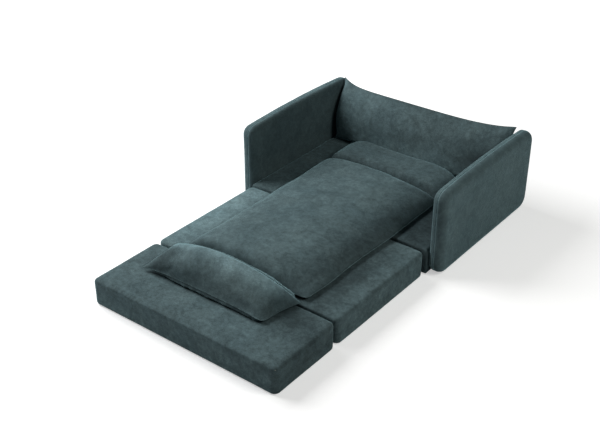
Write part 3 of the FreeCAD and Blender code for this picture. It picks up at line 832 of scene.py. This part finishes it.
def sewn_panels(name, cells_x, cells_y, place_on):
    """Two panels sewn together at their rims.

    place_on(a, b, upper) gives a point of a panel for a and b from -1 to 1, the same point for both
    panels on the rim. Returns the mesh and the rim's vertices in order."""
    bm = bmesh.new()
    panels = []
    for upper in (True, False):
        grid = {}
        for i in range(cells_x + 1):
            a = crowded(-1 + 2 * i / cells_x)
            for j in range(cells_y + 1):
                b = crowded(-1 + 2 * j / cells_y)
                on_rim = i in (0, cells_x) or j in (0, cells_y)
                if on_rim and not upper:
                    grid[i, j] = panels[0][i, j]
                else:
                    grid[i, j] = bm.verts.new(place_on(a, b, upper))
        fill_grid(bm, grid, cells_x, cells_y, not upper)
        panels.append(grid)
    rim = grid_rim(panels[0], cells_x, cells_y)
    bm.verts.index_update()
    order = [vert.index for vert in rim]
    crease = bm.edges.layers.float.new("crease_edge")
    for vert, other in zip(rim, rim[1:] + rim[:1]):
        bm.edges.get((vert, other))[crease] = 1.0
    return mesh_from(bm, name), order


def pad_mesh(name, node_name, cell, corner, powers, thinning=0.0, thin_reach=1.0, rear_press=0.0):
    """A quilted pad that lies flat: soft sides, a crisp rear edge and slightly wavy contact lines."""
    low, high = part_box(node_name)
    high.y += rear_press
    middle, half = (low + high) / 2, (high - low) / 2
    left, right, front, rear = powers
    rate_x, rate_y, rate_apart = PAD_WAVE_RATE
    root_x, root_y = PAD_ROOTS
    under_x, under_y = PAD_UNDER_POWERS
    height = high.z - low.z - PAD_RIM

    def place_on(a, b, upper):
        y = half.y * b
        over = max(0.0, abs(y) - (half.y - corner))
        reach = half.x - corner + math.sqrt(max(0.0, corner * corner - over * over))
        x = reach * a
        wave = noise.noise(Vector((x * rate_x, y * rate_y, half.y * rate_apart)))
        shift = (wave * PAD_WAVE_GAIN - PAD_WAVE_SHIFT) * PAD_WAVE
        x += shift * abs(a) ** PAD_WAVE_POWER * math.copysign(1, a)
        y += shift * abs(b) ** PAD_WAVE_POWER * math.copysign(1, b)
        if upper:
            far = ((x - half.x) ** 2 + (y + half.y) ** 2) / (2 * thin_reach ** 2)
            fullness = fall(a, left, right, root_x) * fall(b, front, rear, root_y)
            fullness *= 1 - thinning * math.exp(-far)
            z = low.z + PAD_RIM + height * fullness
        else:
            flat = fall(a, under_x, under_x, PAD_UNDER_ROOT) * fall(b, under_y, under_y, PAD_UNDER_ROOT)
            z = low.z + PAD_RIM * (1 - flat)
        return middle.x + x, middle.y + y, z

    return sewn_panels(name, round(half.x * 2 / cell), round(half.y * 2 / cell), place_on)


def cushion_mesh(name):
    """The back cushion lying on its rear panel, its belly low and its ears at the seam's corners."""
    half_width, half_height = CUSHION_HALF
    columns = round(half_width * 2 / CUSHION_CELL)
    rows = round(half_height * 2 / CUSHION_CELL) + CUSHION_SPARE_ROWS

    def place_on(a, b, upper):
        t = (b + 1) / 2
        sole = max(0.0, 1 - t / CUSHION_SOLE)
        low_belly = math.sin(math.pi / 2 * (1 - t)) * math.sqrt(1 - sole * sole)
        left_belly = CUSHION_LEFT_BELLY * (4 * t * (1 - t)) ** CUSHION_LEFT_POWER
        end = smooth_step((CUSHION_LEFT_START - a) / CUSHION_LEFT_RUN)
        belly = low_belly + (left_belly - low_belly) * end * CUSHION_LEFT_SHARE
        rise = belly * fall(a, *CUSHION_FALL)
        draw = CUSHION_DRAW * (CUSHION_FOOT_SHARE + (1 - CUSHION_FOOT_SHARE) * t)
        reach = half_height - draw * fall(a, *CUSHION_EARS, 1)
        between = 1 - b ** CUSHION_SIDE_POWER
        x = half_width * a * (1 + CUSHION_WIDENING * (1 - a ** CUSHION_WIDENING_POWER) * between)
        x -= math.copysign(CUSHION_END_DRAW, a) * abs(a) ** CUSHION_END_POWER * between
        x += CUSHION_FOOT_DRAW * end * (1 - t) ** 2
        slump = CUSHION_SLUMP * rise * (1 - t) ** 2 if upper else 0
        return x, reach * b - slump, rise * (CUSHION_FRONT if upper else -CUSHION_REAR)

    return sewn_panels(name, columns, rows, place_on)


def pillow_seam(a, b):
    """A point between the foot pillow's seams: four corners, with the crest bowing up and forward."""
    low_left, low_right, high_right, high_left = [Vector(corner) for corner in BOLSTER_CORNERS]
    along_power, across_power = BOLSTER_BOW_POWERS
    s, t = (a + 1) / 2, (b + 1) / 2
    place = low_left.lerp(low_right, s).lerp(high_left.lerp(high_right, s), t)
    place += Vector(BOLSTER_FRONT_BOW) * (1 - abs(a) ** BOLSTER_FRONT_POWER) * (1 - t)
    place += Vector(BOLSTER_ROUNDING) * (max(a, 0) * (1 - t)) ** BOLSTER_ROUNDING_POWER
    return place + Vector(BOLSTER_BOW) * (1 - abs(a) ** along_power) * t ** across_power


def foot_pillow_mesh(name):
    """The foot pillow leans on the topper: its front seam lies low and its rear seam is the crest."""
    width = BOLSTER_CORNERS[1][0] - BOLSTER_CORNERS[0][0]
    depth = BOLSTER_CORNERS[3][1] - BOLSTER_CORNERS[0][1]
    columns = round(width / BOLSTER_CELL)
    rows = round(depth / BOLSTER_CELL) + BOLSTER_SPARE_ROWS
    path = [Vector((0, *spot)) for spot in BOLSTER_UNDER]
    runs = len(path) - 1
    ground = min(spot.z for spot in path)
    crest, front = pillow_seam(0, 1), pillow_seam(0, -1)
    crest_power, front_power = BOLSTER_CROWN_POWERS

    def upper_place(a, b, place):
        """The upper panel bulges out from the chord between the seams."""
        chord = pillow_seam(a, 1) - pillow_seam(a, -1)
        out = Vector((0, -chord.z, chord.y)).normalized()
        t = (1 - b) / 2
        crown = BOLSTER_CROWN * t ** crest_power * (1 - t) ** front_power / BOLSTER_CROWN_PEAK
        for spot_a, spot_b, wide_a, wide_b, dent in BOLSTER_DENTS:
            far = ((a - spot_a) / wide_a) ** 2 + ((b - spot_b) / wide_b) ** 2
            crown -= dent * math.exp(-far) * fall(b, *BOLSTER_DENT_FALL)
        return place + out * crown * fall(a, *BOLSTER_UPPER_FALL)

    def under_place(a, b, place):
        """The lower panel follows its path, fitted to where the seams lie at this width."""
        along = (1 - b) / 2 * runs
        k = min(int(along), runs - 1)
        under = path[k].lerp(path[k + 1], along - k)
        t = along / runs
        crest_here, front_here = pillow_seam(a, 1), pillow_seam(a, -1)
        crest_share = (crest_here.z - ground) / (crest.z - ground)
        front_share = (front_here.z - ground) / (front.z - ground)
        under.x = place.x
        under.y += (crest_here.y - crest.y) * (1 - t) + (front_here.y - front.y) * t
        under.z = ground + (under.z - ground) * (crest_share * (1 - t) + front_share * t)
        if b < -0.5:
            spot = Vector((a * BOLSTER_RIPPLE_WAVES, BOLSTER_RIPPLE_PLACE, 0.0))
            under.y += BOLSTER_RIPPLE * noise.noise(spot) * fall(b * 4 + 3, 2, 2, 1)
        return place.lerp(under, fall(a, *BOLSTER_UNDER_FALL))

    def place_on(a, b, upper):
        place = pillow_seam(a, b)
        if a > 0:
            place.x -= BOLSTER_END_DRAW * a ** BOLSTER_END_POWER * (1 - b * b)
        return upper_place(a, b, place) if upper else under_place(a, b, place)

    return sewn_panels(name, columns, rows, place_on)


def welt(name, mesh, order, body):
    """A thin corded seam along a sewn rim."""
    spots = [Vector(mesh.vertices[index].co) for index in order]
    bm = bmesh.new()
    rings = []
    for k, spot in enumerate(spots):
        along = (spots[(k + 1) % len(spots)] - spots[k - 1]).normalized()
        side = along.cross(Vector((0, 0, 1)))
        if side.length <= SEAM_UPRIGHT:
            side = along.cross(Vector((0, 1, 0)))
        side.normalize()
        up = side.cross(along)
        ring = []
        for step in range(SEAM_SIDES):
            angle = 2 * math.pi / SEAM_SIDES * step
            ring.append(bm.verts.new(spot + (side * math.cos(angle) + up * math.sin(angle)) * SEAM_RADIUS))
        rings.append(ring)
    for ring, following in zip(rings, rings[1:] + rings[:1]):
        join_rings(bm, ring, following)
    bmesh.ops.recalc_face_normals(bm, faces=bm.faces)
    dress(new_object(mesh_from(bm, name)), body, seam_cloth)


# Screws

def screw_heads(name, spots, out, body):
    """Domed heads with a cross recess, their undersides at the spots and facing out."""
    bm = bmesh.new()
    turn = Vector((0, 0, 1)).rotation_difference(Vector(out)).to_matrix()
    for spot in spots:
        rings = []
        for share, rise in SCREW_PROFILE[1:]:
            ring = []
            for step in range(SCREW_SIDES):
                angle = 2 * math.pi / SCREW_SIDES * step
                narrow = RECESS_WIDTH if share < RECESS_REACH and step % (SCREW_SIDES // 4) else 1.0
                radius = SCREW_RADIUS * share * narrow
                local = Vector((radius * math.cos(angle), radius * math.sin(angle), SCREW_HEIGHT * rise))
                ring.append(bm.verts.new(Vector(spot) + turn @ local))
            rings.append(ring)
        for inner, outer in zip(rings, rings[1:]):
            for k in range(SCREW_SIDES):
                other = (k + 1) % SCREW_SIDES
                bm.faces.new((inner[k], outer[k], outer[other], inner[other]))
        centre = bm.verts.new(Vector(spot) + turn @ Vector((0, 0, SCREW_HEIGHT * SCREW_PROFILE[0][1])))
        for k in range(SCREW_SIDES):
            bm.faces.new((centre, rings[0][k], rings[0][(k + 1) % SCREW_SIDES]))
        bm.faces.new(rings[-1][::-1])
    bmesh.ops.recalc_face_normals(bm, faces=bm.faces)
    dress(new_object(mesh_from(bm, name)), body, zinc)


def hinge_screws():
    """Three screws through each hinge leaf, level with the board behind it."""
    for hinge, board_name, body, at_rear, out in HINGE_LEAVES:
        leaf_low, leaf_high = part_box(hinge + "_leaves")
        board_low, board_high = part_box(board_name)
        level = (board_low.z + board_high.z) / 2
        y = leaf_high.y - LEAF_THICK if at_rear else leaf_low.y + LEAF_THICK
        middle = leaf_high.x - LEAF_WIDTH / 2
        spots = [(side * middle + step * LEAF_SPREAD, y, level) for side in (-1, 1) for step in (-1, 0, 1)]
        screw_heads(hinge + "_screws", spots, (0, out, 0), body)


def strap_screws():
    """Two screws at each end of the flat bars under the base."""
    strap_low, strap_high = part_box("joining_straps")
    rail_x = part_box("base_side_rail_right")[0].x
    rear_rail_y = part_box("base_rear_rail")[0].y
    spots = []
    for side in (-1, 1):
        for row in (strap_low.y + STRAP_WIDTH / 2, STRAP_REAR_ROW):
            for x in (rail_x + STRAP_END, strap_high.x - STRAP_END):
                spots += [(side * x, row + step * STRAP_SPREAD, strap_low.z) for step in (-1, 1)]
        for y in (rear_rail_y + STRAP_END, strap_high.y - STRAP_END):
            spots += [(side * (BACK_STRAP + step * STRAP_SPREAD), y, strap_low.z) for step in (-1, 1)]
    screw_heads("strap_screws", spots, (0, 0, -1), "base")


# Filling of the loose pieces

def blow_up(pieces_to_fill):
    """Fill the soft pieces by a short cloth simulation.

    Each entry is (object, rim, pressure, cap), where the cap is how far a point may move."""
    starts = {}
    for obj, rim, pressure, cap in pieces_to_fill:
        starts[obj.name] = [Vector(v.co) for v in obj.data.vertices]
        cloth = obj.modifiers.new("cloth", "CLOTH")
        for key, value in CLOTH.items():
            setattr(cloth.settings, key, value)
        cloth.settings.uniform_pressure_force = pressure
        cloth.settings.effector_weights.gravity = 0
        cloth.collision_settings.use_collision = False
        cloth.point_cache.frame_start = 1
        cloth.point_cache.frame_end = SIM_FRAMES
    for number in range(1, SIM_FRAMES + 1):
        bpy.context.scene.frame_set(number)
    graph = bpy.context.evaluated_depsgraph_get()
    for obj, rim, pressure, cap in pieces_to_fill:
        shaped = obj.evaluated_get(graph)
        ends = [Vector(v.co) for v in shaped.to_mesh().vertices]
        shaped.to_mesh_clear()
        obj.modifiers.remove(obj.modifiers["cloth"])
        sewn = set(rim)
        for vert, start, end in zip(obj.data.vertices, starts[obj.name], ends):
            move = end - start
            limit = cap * RIM_SHARE if vert.index in sewn else cap
            if move.length > limit:
                move = move * (limit / move.length)
            vert.co = start + move
    bpy.context.scene.frame_set(1)


def set_down(mesh, node_name, tilt):
    """Turn a pillow about the X axis and set it against the rear and the floor of its CAD node."""
    low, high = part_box(node_name)
    mesh.transform(Matrix.Rotation(math.radians(tilt), 4, "X"))
    rear = max(vert.co.y for vert in mesh.vertices)
    foot = min(vert.co.z for vert in mesh.vertices)
    mesh.transform(Matrix.Translation(((low.x + high.x) / 2, high.y - rear, low.z - foot)))


def ease_front(mesh, node_name, zone):
    """Round off the belly of a leaning pillow over a zone behind the front of its CAD node."""
    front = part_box(node_name)[0].y
    for vert in mesh.vertices:
        past = front + zone - vert.co.y
        if past > 0:
            vert.co.y = front + zone * math.exp(-past / zone)


def keep_inside(mesh, node_name, slack):
    """Hold a soft piece in the space of its CAD node, flat where it would pass the node's floor."""
    low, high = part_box(node_name)
    for vert in mesh.vertices:
        for axis in range(3):
            least = low[axis] if axis == 2 else low[axis] - slack
            vert.co[axis] = min(max(vert.co[axis], least), high[axis] + slack)


def loose_pieces():
    """Sew, fill, lay down and dress the topper and the three pillows."""
    sewn = {
        "topper": pad_mesh("topper_pad", "topper", **TOPPER_FORM),
        "head_pillow": pad_mesh("head_pillow_pad", "head_pillow", **HEAD_FORM),
        "foot_pillow": foot_pillow_mesh("foot_bolster"),
        "back_cushion": cushion_mesh("back_cushion_filled"),
    }
    pieces = {node_name: new_object(mesh) for node_name, (mesh, rim) in sewn.items()}
    blow_up([(piece, sewn[node_name][1], *FILLING[node_name][:2]) for node_name, piece in pieces.items()])
    leaning = pieces["back_cushion"].data
    set_down(leaning, "back_cushion", 90 - CUSHION_LEAN)
    ease_front(leaning, "back_cushion", CUSHION_EASE)
    for node_name, piece in pieces.items():
        rim = sewn[node_name][1]
        lumps, slack = FILLING[node_name][2:]
        body = "loose_" + node_name
        soften(piece.data, lumps, LUMP_SPREAD, len(node_name), set(rim), 0.0)
        keep_inside(piece.data, node_name, slack)
        # Painted light and shade on each loose piece
        paint_light_and_shade(piece.data, LOOSE_PAINTED_SHADING[node_name])
        welt(piece.name + "_welt", piece.data, rim, body)
        dress(piece, body, cushion_cloth)
        stand_for(piece, node_name)


# Stage, light and camera

def white_stage():
    """A white floor that keeps the soft shadow of the bed."""
    corners = [(x * FLOOR_REACH, y * FLOOR_REACH, 0) for x, y in ((-1, -1), (1, -1), (1, 1), (-1, 1))]
    mesh = bpy.data.meshes.new("floor")
    mesh.from_pydata(corners, [], [(0, 1, 2, 3)])
    floor = new_object(mesh)
    floor.location.z = -FLOOR_DROP
    material = new_material("floor_white")
    tree = material.node_tree
    paint = node(tree, "ShaderNodeBsdfDiffuse", (0, 100), {"Color": FLOOR_PAINT}).outputs["BSDF"]
    spot = node(tree, "ShaderNodeTexCoord", (-900, -200)).outputs["Object"]
    distance = node(tree, "ShaderNodeVectorMath", (-700, -200), {0: spot}, operation="LENGTH")
    lift = node(tree, "ShaderNodeMapRange", (-450, -200),
                {"Value": distance.outputs["Value"], "From Min": FLOOR_NEAR, "From Max": FLOOR_FAR,
                 "To Min": FLOOR_LIFT, "To Max": 1.0}, interpolation_type="SMOOTHSTEP")
    glow = node(tree, "ShaderNodeEmission", (0, -100),
                {"Color": WHITE, "Strength": lift.outputs["Result"]})
    lifted = node(tree, "ShaderNodeAddShader", (200, 0), {0: paint, 1: glow.outputs["Emission"]})
    path = node(tree, "ShaderNodeLightPath", (0, 400)).outputs
    seen = worked_out(tree, (200, 350), "MAXIMUM", path["Is Camera Ray"], path["Is Glossy Ray"])
    mix = node(tree, "ShaderNodeMixShader", (400, 100),
               {"Fac": seen, 1: paint, 2: lifted.outputs["Shader"]})
    node(tree, "ShaderNodeOutputMaterial", (600, 0), {"Surface": mix.outputs["Shader"]})
    mesh.materials.append(material)


def soft_world():
    """Plain soft light all round, white where the camera sees it."""
    world = bpy.data.worlds.new("studio")
    bpy.context.scene.world = world
    world.use_nodes = True
    tree = world.node_tree
    tree.nodes.clear()
    light = node(tree, "ShaderNodeBackground", (0, 0), {"Color": WORLD_COLOUR, "Strength": WORLD_LIGHT})
    white = node(tree, "ShaderNodeBackground", (0, -200), {"Color": WHITE, "Strength": 1.0})
    path = node(tree, "ShaderNodeLightPath", (0, 300)).outputs
    seen = worked_out(tree, (200, 250), "MAXIMUM", path["Is Camera Ray"], path["Is Transmission Ray"])
    mix = node(tree, "ShaderNodeMixShader", (400, 0),
               {"Fac": seen, 1: light.outputs["Background"], 2: white.outputs["Background"]})
    node(tree, "ShaderNodeOutputWorld", (600, 0), {"Surface": mix.outputs["Shader"]})


def softbox(name, place, side, power, colour):
    """A square area light that faces the middle of the bed and isn't seen itself."""
    lamp = bpy.data.lights.new(name, "AREA")
    lamp.size = side
    lamp.energy = power
    lamp.color = colour
    obj = new_object(lamp)
    obj.location = place
    obj.rotation_euler = (Vector(LIGHT_TARGET) - Vector(place)).to_track_quat("-Z", "Y").to_euler()
    obj.visible_camera = False


def photo_camera():
    """The photograph's viewpoint, from a fit to the frame's edges."""
    camera = bpy.data.cameras.new("photo_camera")
    camera.sensor_fit = "HORIZONTAL"
    camera.sensor_width = SENSOR_WIDTH
    camera.lens = LENS
    camera.clip_end = CAMERA_REACH
    obj = new_object(camera)
    obj.location = CAMERA_PLACE
    obj.rotation_euler = Euler((math.radians(CAMERA_TILT), 0.0, math.radians(CAMERA_TURN)))
    bpy.context.scene.camera = obj


finish_nodes()
section_piece("seat_section_upholstery", "seat_cover", "seat_section", SEAT_PAINTED_SHADING)
section_piece("foot_section_upholstery", "foot_cover", "foot_section", FOOT_PAINTED_SHADING)
base_piece("base_upholstery", "base_cover")
for arm_side, seed_step in (("right", 0), ("left", 1)):
    arm_piece(arm_side, "inner", ARM_INSIDE, ARM_SEAM, ARM_INNER_EDGE, ARM_SEAM_EDGE, 11 + seed_step)
    arm_piece(arm_side, "outer", ARM_SEAM, ARM_OUTSIDE, ARM_SEAM_EDGE, ARM_OUTER_EDGE, 17 + seed_step)
back_piece("back_front_padding", "back_front_pad", BACK_FRONT_EDGE, BACK_SEAM_EDGE, 23)
back_piece("back_rear_padding", "back_rear_pad", BACK_SEAM_EDGE, BACK_REAR_EDGE, 29)
hinge_screws()
strap_screws()
loose_pieces()

white_stage()
soft_world()
for softbox_values in SOFTBOXES:
    softbox(*softbox_values)
photo_camera()
bpy.context.scene.view_settings.view_transform = "Standard"
